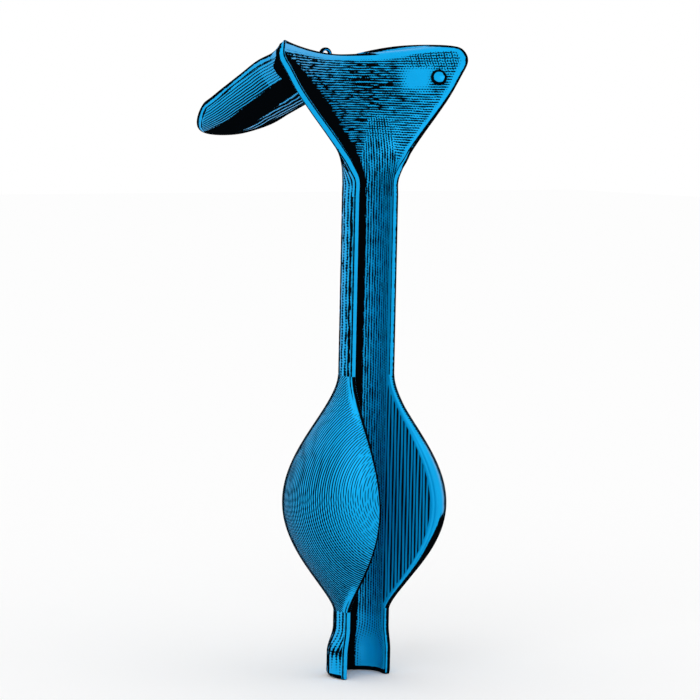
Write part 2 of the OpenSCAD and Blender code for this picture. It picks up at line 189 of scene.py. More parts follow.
class Sheet:
    """The formed sheet, as stations from the trough over the crest to the blade's tip.

    A station holds the floor's y and z, the rim's x, y and z, the rim's lean in degrees, two handle
    lengths of the section's curve, and how far the section keeps the trough's own U form.
    """
    # Stations of the joint with the trough, of the blade's root and of the start of its round tip
    JOINT = 1
    ROOT = 16
    TIP = 19
    # Handle length that makes a curve a quarter circle
    ROUND = 0.5523
    ROOT_Z = -15.4 * MM
    NORMAL_SPAN = 0.45
    NORMAL_STEP = 0.02

    def __init__(self, sizes):
        self.sizes = sizes
        self.trough_in = sizes.trough_w / 2 - sizes.thickness
        self.axis_y = -sizes.crest_back
        self.rim_y = self.axis_y - sizes.lip_len + sizes.edge_r
        self.floor_y = self.axis_y + self.trough_in
        self.joint_z = -sizes.saddle_h
        self.blade_in = sizes.blade_w / 2 - sizes.thickness
        self.stations = np.array(self.make_stations())

    def trough_station(self, z):
        return [self.floor_y, z, self.trough_in, self.rim_y, z, 0, self.ROUND, self.ROUND, 1]

    def blade_station(self, y, lift=0.0):
        """A station of the blade, its floor raised by lift and its rims by half as much."""
        sizes = self.sizes
        rise_y = sizes.blade_depth * math.sin(sizes.blade_tilt)
        floor_z = self.ROOT_Z - (y - sizes.root_back) * math.tan(sizes.blade_tilt) + lift
        rim_z = self.ROOT_Z + sizes.blade_depth * math.cos(sizes.blade_tilt) + lift / 2
        rim_z -= (y - sizes.root_back) * math.tan(sizes.rim_tilt)
        return [y, floor_z, self.blade_in, y + rise_y, rim_z, 0, self.ROUND, self.ROUND, 0]

    def make_stations(self):
        sizes = self.sizes
        half = sizes.wing_span / 2
        high, back, rise, root = sizes.saddle_h, sizes.crest_back, sizes.wing_rise, sizes.root_back
        root_z, wall, handle = self.ROOT_Z, self.blade_in, self.ROUND
        floor, rim, inner = self.floor_y, self.rim_y, self.trough_in
        tip_start = sizes.blade_reach - sizes.tip_len
        third = (tip_start - root) / 3
        return [
            self.trough_station(self.joint_z - 6 * MM),
            self.trough_station(self.joint_z),
            self.trough_station(self.joint_z + 6 * MM),
            [floor + 0.1 * MM, -0.77 * high, inner + 2.1 * MM, rim, -0.80 * high, 15, 0.55, 0.5, 0.5],
            [floor + 0.4 * MM, -0.65 * high, inner + 7.2 * MM, rim, -0.67 * high, 32, 0.5, 0.5, 0],
            [floor + 1.1 * MM, -0.52 * high, 0.50 * half, rim, -0.53 * high, 44, 0.45, 0.5, 0],
            [floor + 2.3 * MM, -0.38 * high, 0.66 * half, rim, -0.39 * high, 50, 0.42, 0.5, 0],
            [floor + 4.1 * MM, -0.25 * high, 0.81 * half, rim, -0.25 * high, 54, 0.38, 0.5, 0],
            [-0.27 * back, -0.12 * high, 0.93 * half, rim, -0.11 * high, 56, 0.34, 0.55, 0],
            [-0.16 * back, -0.045 * high, half, rim + 0.3 * MM, -0.25 * rise, 58, 0.3, 0.6, 0],
            [-0.09 * back, -0.014 * high, 0.98 * half, rim + 1.5 * MM, 0.5 * rise, 58, 0.27, 0.62, 0],
            [-0.02 * back, -0.001 * high, 0.93 * half, rim + 3.8 * MM, 0.88 * rise, 57, 0.25, 0.65, 0],
            [0.07 * back, -0.002 * high, 0.84 * half, -0.70 * back, rise, 53, 0.25, 0.67, 0],
            [0.22 * root, 0.15 * root_z, 0.68 * half, -0.28 * back, 0.86 * rise, 42, 0.3, 0.6, 0],
            [0.43 * root, 0.43 * root_z, 0.53 * half, 0.18 * root, 0.48 * rise, 22, 0.42, 0.55, 0],
            [0.68 * root, 0.74 * root_z, wall + 2.1 * MM, 0.65 * root, -0.08 * rise, 7, 0.52, handle, 0],
            self.blade_station(root),
            self.blade_station(root + third),
            self.blade_station(root + 2 * third),
            self.blade_station(tip_start),
            self.blade_station(sizes.blade_reach, lift=3.2 * MM),
            self.blade_station(sizes.blade_reach + sizes.tip_len, lift=9 * MM),
        ]

    def station(self, p):
        """Stations in between, by a curve through the given ones."""
        rows = self.stations
        i = np.clip(np.floor(p).astype(int), 1, len(rows) - 3)
        t = (p - i)[..., None]
        a, b, c, d = rows[i - 1], rows[i], rows[i + 1], rows[i + 2]
        bend, twist = 2 * a - 5 * b + 4 * c - d, 3 * b - a - 3 * c + d
        return 0.5 * (2 * b + (c - a) * t + bend * t**2 + twist * t**3)

    def section(self, s, t):
        """The point at t of station s, t from -1 on the left rim to 1 on the right rim."""
        rise_y, rise_z, wide = s[..., 3] - s[..., 0], s[..., 4] - s[..., 1], s[..., 2]
        high, lean = np.hypot(rise_y, rise_z), np.radians(s[..., 5])
        k, u = np.abs(t), 1 - np.abs(t)
        x = 3 * u * u * k * s[..., 6] * wide + 3 * u * k * k * (wide - s[..., 7] * high * np.sin(lean))
        x = x + k**3 * wide
        up = 3 * u * k * k * (high - s[..., 7] * high * np.cos(lean)) + k**3 * high
        # The trough's own form: a half circle and two straight walls
        arc = wide * math.pi / 2
        along = k * (arc + np.maximum(high, wide) - wide)
        turn = along / wide
        round_part = along < arc
        u_x = np.where(round_part, wide * np.sin(turn), wide)
        u_up = np.where(round_part, wide - wide * np.cos(turn), wide + along - arc)
        share = np.maximum(s[..., 8], 0)
        x, up = (1 - share) * x + share * u_x, (1 - share) * up + share * u_up
        y, z = s[..., 0] + rise_y * up / high, s[..., 1] + rise_z * up / high
        return np.stack([np.sign(t) * x, y, z], -1)

    def inner(self, p, t):
        """The inner face at station p, and t as for section."""
        p, t = np.broadcast_arrays(np.asarray(p, float), np.asarray(t, float))
        return self.section(self.station(p), t)

    def outward(self, p, t):
        """The way from the inner face to the outer face, evened out over a short span of stations."""
        p, t = np.broadcast_arrays(np.asarray(p, float), np.asarray(t, float))
        s = self.station(p)
        ahead = self.inner(p + self.NORMAL_SPAN, t) - self.inner(p - self.NORMAL_SPAN, t)
        across = self.section(s, t + self.NORMAL_STEP) - self.section(s, t - self.NORMAL_STEP)
        return unit(np.cross(ahead, across))


# Points across the sheet: on half a face, on a face, on one rounded corner and on a whole free edge
SIDE = 44
FACE = 2 * SIDE + 1
CORNER = 6
BAND = 2 * CORNER
FACE_T = np.linspace(-1, 1, FACE)


def rounded_edge(rim, out, edge, thickness, edge_r):
    """The free edge from the inner face to the outer face, on each ring."""
    first = [rim + edge_r * (out * (1 - math.cos(g)) + edge * math.sin(g))
             for g in (math.pi / 2 * k / CORNER for k in range(1, CORNER + 1))]
    second = [rim + out * (thickness - edge_r + edge_r * math.sin(g)) + edge * edge_r * math.cos(g)
              for g in (math.pi / 2 * k / CORNER for k in range(CORNER))]
    return np.stack(first + second, 1)


def formed_rings(sheet, rings):
    """Closed loops of the sheet: inner face, right edge, outer face, left edge. rings holds (p, reach)."""
    sizes = sheet.sizes
    rings = np.asarray(rings, float)
    longer = np.vstack([2 * rings[0] - rings[1], rings, 2 * rings[-1] - rings[-2]])
    p, reach = rings[:, :1], rings[:, 1:]
    inner = sheet.inner(p, reach * FACE_T)
    out = sheet.outward(p, reach * FACE_T)
    outer = inner + sizes.thickness * out
    edges = {}
    for side, end in ((1, -1), (-1, 0)):
        rim = sheet.inner(longer[:, 0], side * longer[:, 1])
        edge = unit(side * np.cross(out[:, end], rim[2:] - rim[:-2]))
        edges[side] = rounded_edge(rim[1:-1], out[:, end], edge, sizes.thickness, sizes.edge_r)
    return np.concatenate([inner, edges[1], outer[:, ::-1], edges[-1][:, ::-1]], 1)


def ring_quads(rows, size):
    """Quads between rows of closed rings."""
    quads = []
    for i in range(rows - 1):
        for k in range(size):
            a, b = i * size + k, i * size + (k + 1) % size
            quads.append((a, b, b + size, a + size))
    return quads


def loop_faces(rows, size, faced):
    """Quads over rows of a loop, both ends closed in strips. faced is the points on each long face."""
    faces = ring_quads(rows, size)
    edge = (size - 2 * faced) // 2
    partner = 2 * faced + edge - 1
    seen = set()
    for k in range(size):
        a, b = k, (k + 1) % size
        c, d = (partner - b) % size, (partner - a) % size
        corners = tuple(dict.fromkeys((a, b, c, d)))
        if len(corners) < 3 or frozenset(corners) in seen:
            continue
        seen.add(frozenset(corners))
        start = (rows - 1) * size
        faces.append(corners[::-1])
        faces.append(tuple(start + x for x in corners))
    return faces


def capped_faces(rows, size):
    """Quads between rows of rings, and fans from the first and last ring to two points after them."""
    faces = ring_quads(rows, size)
    bottom, top, last = rows * size, rows * size + 1, (rows - 1) * size
    for k in range(size):
        after = (k + 1) % size
        faces.append((bottom, after, k))
        faces.append((top, last + k, last + after))
    return faces


class Picture:
    """The point of view of the stage's camera. The outline seen from it is painted on the surfaces as dark
    shade where they turn away.
    """

    def __init__(self, context):
        stage = context.scene.speculum_stage
        turn, level = stage.azimuth, math.cos(stage.elevation)
        self.distance = stage.distance
        self.back = Vector((math.sin(turn) * level, -math.cos(turn) * level, math.sin(stage.elevation)))
        self.right = Vector((math.cos(turn), math.sin(turn), 0))
        self.up = self.back.cross(self.right)
        target = Vector((0, -context.scene.speculum_sheet.crest_back, -stage.target_drop))
        aside = self.up * stage.above - self.right * stage.aside
        self.place = target + self.back * stage.distance + aside

    def seen(self, points):
        """Where points lie in the picture, as lengths at its target, and how far off they are."""
        rays = points - np.array(self.place)
        deep = -(rays @ np.array(self.back))
        flat = np.stack([rays @ np.array(self.right), rays @ np.array(self.up)], -1)
        return flat * (self.distance / deep)[..., None], deep

    def outline(self, loops, towards, width):
        """1 on each loop's points that lie within the given width of the outline, on the side of the
        picture that towards points to: where the outline's painted shade goes. It ends softly, and soon
        after the surface turns away."""
        flat, deep = self.seen(loops)
        rows = np.arange(len(loops))
        edge = np.argmax(flat @ np.array(towards), axis=1)
        run = unit(np.gradient(flat[rows, edge], axis=0))
        outward = np.stack([run[:, 1], -run[:, 0]], -1)
        outward *= np.sign(outward @ np.array(towards))[:, None]
        reach = np.einsum("ijk,ik->ij", flat, outward)
        edge = np.argmax(reach, axis=1)
        inset = reach[rows, edge][:, None] - reach
        behind = deep - deep[rows, edge][:, None]
        return ramp(inset, 1.3 * width, 0.7 * width) * ramp(behind, 1.2 * MM, 0.2 * MM)


def arc_lengths(points):
    """Running length along the second axis, from its first point."""
    steps = np.linalg.norm(np.diff(points, axis=1), axis=-1)
    return np.concatenate([np.zeros((len(points), 1)), np.cumsum(steps, 1)], 1)


def over_face(values):
    """One value for each section, repeated over the points of its face."""
    return np.repeat(np.asarray(values)[:, None], FACE, 1)


# Faces that meet at more than this keep a sharp edge
SHARP_ANGLE = math.radians(42)


def add_piece(context, name, points, faces, place, shade, slot, *nodes):
    """A smooth lacquered mesh that stands for the given nodes. place is each point's position across
    and along its lines, with how evenly they are ruled, and shade the weight of the lines across and
    along, and of solid filling."""
    points = np.asarray(points, float).reshape(-1, 3)
    corners = np.array([f[:3] for f in faces])
    a, b, c = (points[corners[:, k]] for k in range(3))
    if np.einsum("ij,ij->", np.cross(a, b), c) < 0:
        faces = [f[::-1] for f in faces]
    mesh = bpy.data.meshes.new(name)
    mesh.from_pydata(points.tolist(), [], faces)
    for label, values in (("line_place", place), ("line_shade", shade)):
        layer = mesh.attributes.new(label, "FLOAT_VECTOR", "POINT")
        layer.data.foreach_set("vector", np.asarray(values, np.float32).ravel())
    mesh.shade_smooth()
    mesh.set_sharp_from_angle(angle=SHARP_ANGLE)
    mesh.materials.append(finish_of(context))
    piece = bpy.data.objects.new(name, mesh)
    context.scene.collection.objects.link(piece)
    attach(piece, "root")
    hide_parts(*nodes)


def add_loops(context, name, loops, faced, place, shade, slot, *nodes):
    """A piece from rows of closed loops."""
    rows, size = loops.shape[:2]
    add_piece(context, name, loops, loop_faces(rows, size, faced), place, shade, slot, *nodes)


# Materials

def linear(hex_value):
    """An sRGB hex colour as linear RGBA."""
    channels = [int(hex_value[i:i + 2], 16) / 255 for i in (0, 2, 4)]
    return [c / 12.92 if c <= 0.04045 else ((c + 0.055) / 1.055)**2.4 for c in channels] + [1.0]


def empty_tree(owner):
    """The emptied node tree of a material or a world."""
    owner.use_nodes = True
    owner.node_tree.nodes.clear()
    return owner.node_tree


def add_node(tree, kind, *values, inputs=None, **settings):
    """The outputs of a new shader node. values go to its first inputs in order, and inputs to those of
    the given names or numbers. Each is a value or another node's output, which is linked."""
    node = tree.nodes.new(f"ShaderNode{kind}")
    for key, value in settings.items():
        setattr(node, key, value)
    for key, value in (*enumerate(values), *(inputs or {}).items()):
        if isinstance(value, bpy.types.NodeSocket):
            tree.links.new(value, node.inputs[key])
        else:
            node.inputs[key].default_value = value
    return node.outputs


def shading_lines(tree, across, along, weight, gap, dash):
    """1 on the lines of painted shade and 0 between them. Lines are broken into dashes where their weight
    is low.
    """
    # Distance from the nearest line, 0 on it and 1 halfway to the next
    at = add_node(tree, "Math", across, gap, operation="DIVIDE")[0]
    off = add_node(tree, "Math", at, 0.5, operation="PINGPONG")[0]
    off = add_node(tree, "Math", off, 2.0, operation="MULTIPLY")[0]
    # Dashes, set off by 2.4 radians from one line to the next, only where a line is light
    number = add_node(tree, "Math", at, 0.5, operation="ADD")[0]
    number = add_node(tree, "Math", number, operation="FLOOR")[0]
    phase = add_node(tree, "Math", along, 2 * math.pi / dash, operation="MULTIPLY")[0]
    phase = add_node(tree, "Math", number, 2.4, phase, operation="MULTIPLY_ADD")[0]
    wave = add_node(tree, "Math", phase, operation="SINE")[0]
    wave = add_node(tree, "Math", wave, 0.34, operation="MULTIPLY")[0]
    light = add_node(tree, "Math", 1.0, weight, operation="SUBTRACT", use_clamp=True)[0]
    drawn = add_node(tree, "Math", weight, 4.0, operation="MULTIPLY", use_clamp=True)[0]
    light = add_node(tree, "Math", light, drawn, operation="MULTIPLY")[0]
    broken = add_node(tree, "Math", wave, light, operation="MULTIPLY")[0]
    width = add_node(tree, "Math", weight, 1.25, -0.2, operation="MULTIPLY_ADD")[0]
    width = add_node(tree, "Math", width, broken, operation="ADD")[0]
    over = add_node(tree, "Math", width, off, operation="SUBTRACT")[0]
    return add_node(tree, "MapRange", over, -0.1, 0.1, interpolation_type="SMOOTHSTEP")[0]


def streaks(tree, place, x, y, roughness=0.6):
    """Noise about 0.5 in streaks of the given sizes over the line work."""
    at = add_node(tree, "Mapping", vector_type="POINT",
                  inputs={"Vector": place, "Scale": (1 / x, 1 / y, 1.0)})[0]
    return add_node(tree, "TexNoise", noise_dimensions="2D",
                    inputs={"Vector": at, "Scale": 1.0, "Detail": 2.0, "Roughness": roughness})[0]


def uneven(tree, weight, streak, loose):
    """The weight of lines, swelling and thinning with the streaks by the given looseness."""
    swing = add_node(tree, "Math", streak, 2.0, -1.0, operation="MULTIPLY_ADD")[0]
    swing = add_node(tree, "Math", swing, loose, operation="MULTIPLY")[0]
    swing = add_node(tree, "Math", swing, 1.0, operation="ADD")[0]
    return add_node(tree, "Math", weight, swing, operation="MULTIPLY")[0]


def lacquered_steel_painted_shade(name, finish):
    """Steel brushed along its form, under clear blue lacquer, with fine engraved lines filled in black
    enamel. The weight of the lines and the solid black, read from line_shade, paint the shade and
    shadow, and the bare blue between them paints the light. The eye gets an even, saturated blue
    with a soft metallic sheen, and matt black lines. The lines lie about a millimetre apart, coarser
    than real engraving, so that they show in the render."""
    material = bpy.data.materials.new(name)
    tree = empty_tree(material)
    place = add_node(tree, "Attribute", attribute_name="line_place")["Vector"]
    shade = add_node(tree, "Attribute", attribute_name="line_shade")["Vector"]
    where = add_node(tree, "SeparateXYZ", place)
    weights = add_node(tree, "SeparateXYZ", shade)
    # The engraver's hand: lines wander by a tenth of a millimetre or two over a few millimetres
    hand = add_node(tree, "TexNoise", noise_dimensions="3D",
                    inputs={"Vector": place, "Scale": 1 / (5 * MM), "Detail": 2.0, "Roughness": 0.6})[0]
    wander = add_node(tree, "Math", hand, 0.5, operation="SUBTRACT")[0]
    wander = add_node(tree, "Math", wander, 0.55 * MM, operation="MULTIPLY")[0]
    u = add_node(tree, "Math", where[0], wander, operation="ADD")[0]
    v = add_node(tree, "Math", where[1], wander, operation="ADD")[0]
    # Uneven pressure along each line: it swells, thins and here and there runs into its neighbour
    streak_u = streaks(tree, place, 0.9 * MM, 4.5 * MM)
    streak_v = streaks(tree, place, 4.5 * MM, 0.9 * MM)
    loose = add_node(tree, "Math", 1.0, where[2], operation="SUBTRACT", use_clamp=True)[0]
    weight_u = uneven(tree, weights[0], streak_u, loose)
    weight_v = uneven(tree, weights[1], streak_v, loose)
    lines_u = shading_lines(tree, u, v, weight_u, finish.line_gap, finish.dash)
    lines_v = shading_lines(tree, v, u, weight_v, finish.line_gap, finish.dash)
    # Solid filling, with a ragged edge where its weight falls off: painted shadow and shade, and the dark
    # joint round the plug
    ragged = add_node(tree, "Math", streak_v, 0.5, operation="SUBTRACT")[0]
    ragged = add_node(tree, "Math", ragged, 1.1, weights[2], operation="MULTIPLY_ADD")[0]
    solid = add_node(tree, "MapRange", ragged, 0.42, 0.58, interpolation_type="SMOOTHSTEP")[0]
    # ink is the painted shade: the lines and the solid black together
    ink = add_node(tree, "Math", lines_u, lines_v, operation="MAXIMUM")[0]
    ink = add_node(tree, "Math", ink, solid, operation="MAXIMUM", use_clamp=True)[0]
    # Brush marks 0.15 mm apart and some 8 mm long, and lacquer that lies thicker here and there
    brush = streaks(tree, place, 0.15 * MM, 8 * MM, roughness=0.5)
    cloud = add_node(tree, "TexNoise", noise_dimensions="3D",
                     inputs={"Vector": place, "Scale": 1 / (16 * MM), "Detail": 3.0})[0]
    thick = add_node(tree, "Math", cloud, 0.5, -0.25, operation="MULTIPLY_ADD")[0]
    tone = add_node(tree, "Math", brush, 0.35, thick, operation="MULTIPLY_ADD", use_clamp=True)[0]
    blue = add_node(tree, "Mix", tone, data_type="RGBA",
                    inputs={6: linear(finish.blue), 7: linear(finish.deep)})[2]
    paint = add_node(tree, "Mix", ink, data_type="RGBA", inputs={6: blue, 7: linear(finish.ink)})[2]
    # The black enamel of the painted shade is matt and no metal, and lies a little low in its lines
    metallic = add_node(tree, "Math", ink, -0.3, 0.3, operation="MULTIPLY_ADD")[0]
    rough = add_node(tree, "Math", brush, 0.16, 0.26, operation="MULTIPLY_ADD")[0]
    rough = add_node(tree, "Math", ink, 0.25, rough, operation="MULTIPLY_ADD")[0]
    gloss = add_node(tree, "Math", ink, -0.08, 0.08, operation="MULTIPLY_ADD")[0]
    coat = add_node(tree, "Math", ink, -0.04, 0.04, operation="MULTIPLY_ADD")[0]
    height = add_node(tree, "Math", brush, 0.12, operation="MULTIPLY")[0]
    height = add_node(tree, "Math", ink, -1.0, height, operation="MULTIPLY_ADD")[0]
    bump = add_node(tree, "Bump", inputs={"Strength": 0.35, "Distance": 0.08 * MM, "Height": height})[0]
    shader = add_node(tree, "BsdfPrincipled", inputs={
        "Base Color": paint, "Metallic": metallic, "Roughness": rough, "Normal": bump,
        "Specular IOR Level": gloss, "Coat Weight": coat, "Coat Roughness": 0.15})[0]
    add_node(tree, "OutputMaterial", inputs={"Surface": shader})
    return material


def cast_lead(name, finish):
    """Lead as cast: dull grey, with a coarse, slightly pitted skin."""
    material = bpy.data.materials.new(name)
    tree = empty_tree(material)
    at = add_node(tree, "TexCoord")["Object"]
    grain = add_node(tree, "TexNoise", inputs={"Vector": at, "Scale": 1 / (1.5 * MM), "Detail": 5.0})[0]
    grey = linear(finish.lead)
    dull = [c * 0.6 for c in grey[:3]] + [1.0]
    paint = add_node(tree, "Mix", grain, data_type="RGBA", inputs={6: grey, 7: dull})[2]
    bump = add_node(tree, "Bump", inputs={"Strength": 0.5, "Distance": 0.2 * MM, "Height": grain})[0]
    shader = add_node(tree, "BsdfPrincipled", inputs={
        "Base Color": paint, "Metallic": 1.0, "Roughness": 0.62, "Normal": bump})[0]
    add_node(tree, "OutputMaterial", inputs={"Surface": shader})
    return material


def finish_of(context, kind=lacquered_steel_painted_shade, name="blue_lacquered_steel"):
    """The shared material, made once."""
    return bpy.data.materials.get(name) or kind(name, context.scene.speculum_finish)


# Line work of the formed sheet, which paints its light and shade. Weights run from 0, bright metal
# and painted light, to 1, solid black and painted shade.

def rim_inks(rows, wing=0.0, black_rim=0.0):
    """Black along the right and left rims. Points run from the inner face to the outer one on the
    right, and back on the left. The right rim is blackest on the wing, and black_rim is 1 where both
    are black."""
    # Lines on both corners, on the outer one, on the inner one and over most of the rim
    left, stem, flank, full = np.zeros((4, BAND))
    left[1:4] = left[-4:-1] = 1
    stem[:2] = stem[CORNER:-1] = 1
    flank[:CORNER + 2] = 1
    full[:9] = 1
    wing, share = (np.broadcast_to(x, (rows, 1)) for x in (wing, black_rim))
    right = (1 - wing) * stem + wing * flank
    return (1 - share) * right + share * full[::-1], (1 - share) * left + share * full


def sheet_attributes(u, v, inside, outside, inks, even=0.5, spread=1.0):
    """place and shade over closed loops. u and v are the inner face's; inside and outside are weights
    (lines across u, lines across v, solid) on the two faces, from the left rim to the right. The lines
    are drawn by hand where even is 0 and ruled where it is 1, and lie further apart outside where
    spread is below 1."""
    bands = np.ones((len(u), BAND))
    ruled = np.broadcast_to(even, u.shape)
    place = np.stack([
        np.concatenate([u, bands * u[:, -1:], (spread * u)[:, ::-1], bands * u[:, :1]], 1),
        np.concatenate([v, bands * v[:, -1:], v[:, ::-1], bands * v[:, :1]], 1),
        np.concatenate([ruled, bands, ruled[:, ::-1], bands], 1)], -1)
    edges = [np.stack([0 * bands, 0 * bands, ink], -1) for ink in inks]
    shade = np.concatenate([inside, edges[0], outside[:, ::-1], edges[1]], 1)
    return place, shade


# Which of a point's weights paints the shade of an outline, and how heavily
LINES, SOLID = 0, 2
OUTLINE_WEIGHTS = {LINES: 0.95, SOLID: 1.0}


def paint_outline_shade(context, loops, shade, towards, width, kind=LINES, share=1.0):
    """Heavy lines or solid black along the outline on one side of the loops: painted shade where the
    surface turns away from the camera.
    """
    outline = OUTLINE_WEIGHTS[kind] * share * Picture(context).outline(loops, towards, width)
    shade[..., kind] = np.maximum(shade[..., kind], outline)


def weights_of(across, along, solid, like):
    """Three weights as one array shaped like the given one."""
    three = [np.broadcast_to(np.asarray(weight, float), like.shape) for weight in (across, along, solid)]
    return np.stack(three, -1)


def section_place(inner):
    """Distance from the floor's middle along each section."""
    run = arc_lengths(inner)
    return run - run[:, SIDE:SIDE + 1]


def rim_distance(inner):
    """Each point's distance from the nearest point of the rims."""
    rims = np.concatenate([inner[:, 0], inner[:, -1]])
    return np.array([np.linalg.norm(row[:, None] - rims[None], axis=-1).min(1) for row in inner])


def blade_rim(off):
    """The black edge and the fine black line that follow the blade's rim outside."""
    edge = ramp(off, 0.5 * MM, 0.3 * MM)
    line = ramp(off, 1.0 * MM, 1.15 * MM) * ramp(off, 1.6 * MM, 1.45 * MM)
    return np.maximum(edge, line)


def blade_place(t):
    """Place across the blade: lines lie twice as far apart on its floor as on its walls."""
    return np.sign(t) * table([0, 0.3, 1], [0, 0.15, 0.85], np.abs(t)) * 24 * MM


def gutter_lines(side):
    """Weight of the lines inside the blade, a painted shade heaviest along its floor."""
    return 0.4 + 0.3 * ramp(side, 0.35, 0.05)


class Maker:
    """What the operators of this add-on share."""
    bl_options = {"REGISTER", "UNDO"}


class SPECULUM_OT_blade(Maker, bpy.types.Operator):
    """Build the gutter blade with its round tip"""
    bl_idname = "speculum.blade"
    bl_label = "Blade"

    def execute(self, context):
        sheet = Sheet(context.scene.speculum_sheet)
        steps, turns = 10, 48
        straight = [[Sheet.ROOT + i / steps, 1.0] for i in range((Sheet.TIP - Sheet.ROOT) * steps + 1)]
        # The last ring stops a third of a step short of the point
        turned = [90 * i / (turns + 0.35) for i in range(1, turns + 1)]
        tip = [[Sheet.TIP + math.sin(math.radians(turn)), 1 - (turn / 90)**1.4] for turn in turned]
        rings = np.array(straight + tip)
        loops = formed_rings(sheet, rings)
        inner = loops[:, :FACE]
        t = rings[:, 1:] * FACE_T
        u = blade_place(t)
        v = over_face(arc_lengths(inner[None, :, SIDE])[0])
        # Painted shadow underneath: a black band on each side between the lines of the wall and those of
        # the floor, and the lines heavier towards it
        side = np.abs(t)
        way = v / v.max()
        upper, lower = 0.565 - 0.13 * way, 0.25 - 0.3 * way
        lines = 0.52 + 0.16 * ramp(side, 0.9, upper) + 0.07 * ramp(side, lower + 0.04, lower - 0.06)
        band = ramp(side, upper + 0.05, upper - 0.03) * ramp(side, lower - 0.04, lower + 0.04)
        off = rim_distance(inner)
        black = np.maximum(band, blade_rim(off))
        outside = weights_of(lines * ramp(off, 1.5 * MM, 1.8 * MM), 0, black, like=t)
        inside = weights_of(gutter_lines(side), 0, 0, like=t)
        inks = rim_inks(len(loops), black_rim=1.0)
        place, shade = sheet_attributes(u, v, inside, outside, inks, even=0.85)
        paint_outline_shade(context, loops, shade, (0.5, -0.85), 1.0 * MM)
        add_loops(context, "gutter_blade", loops, FACE, place, shade, "sheet_metal", "blade")
        return {"FINISHED"}


# Place across the trough's and tail's outside as a share of that inside: lines lie 1.8 times as far apart
STEM_SPREAD = 0.55


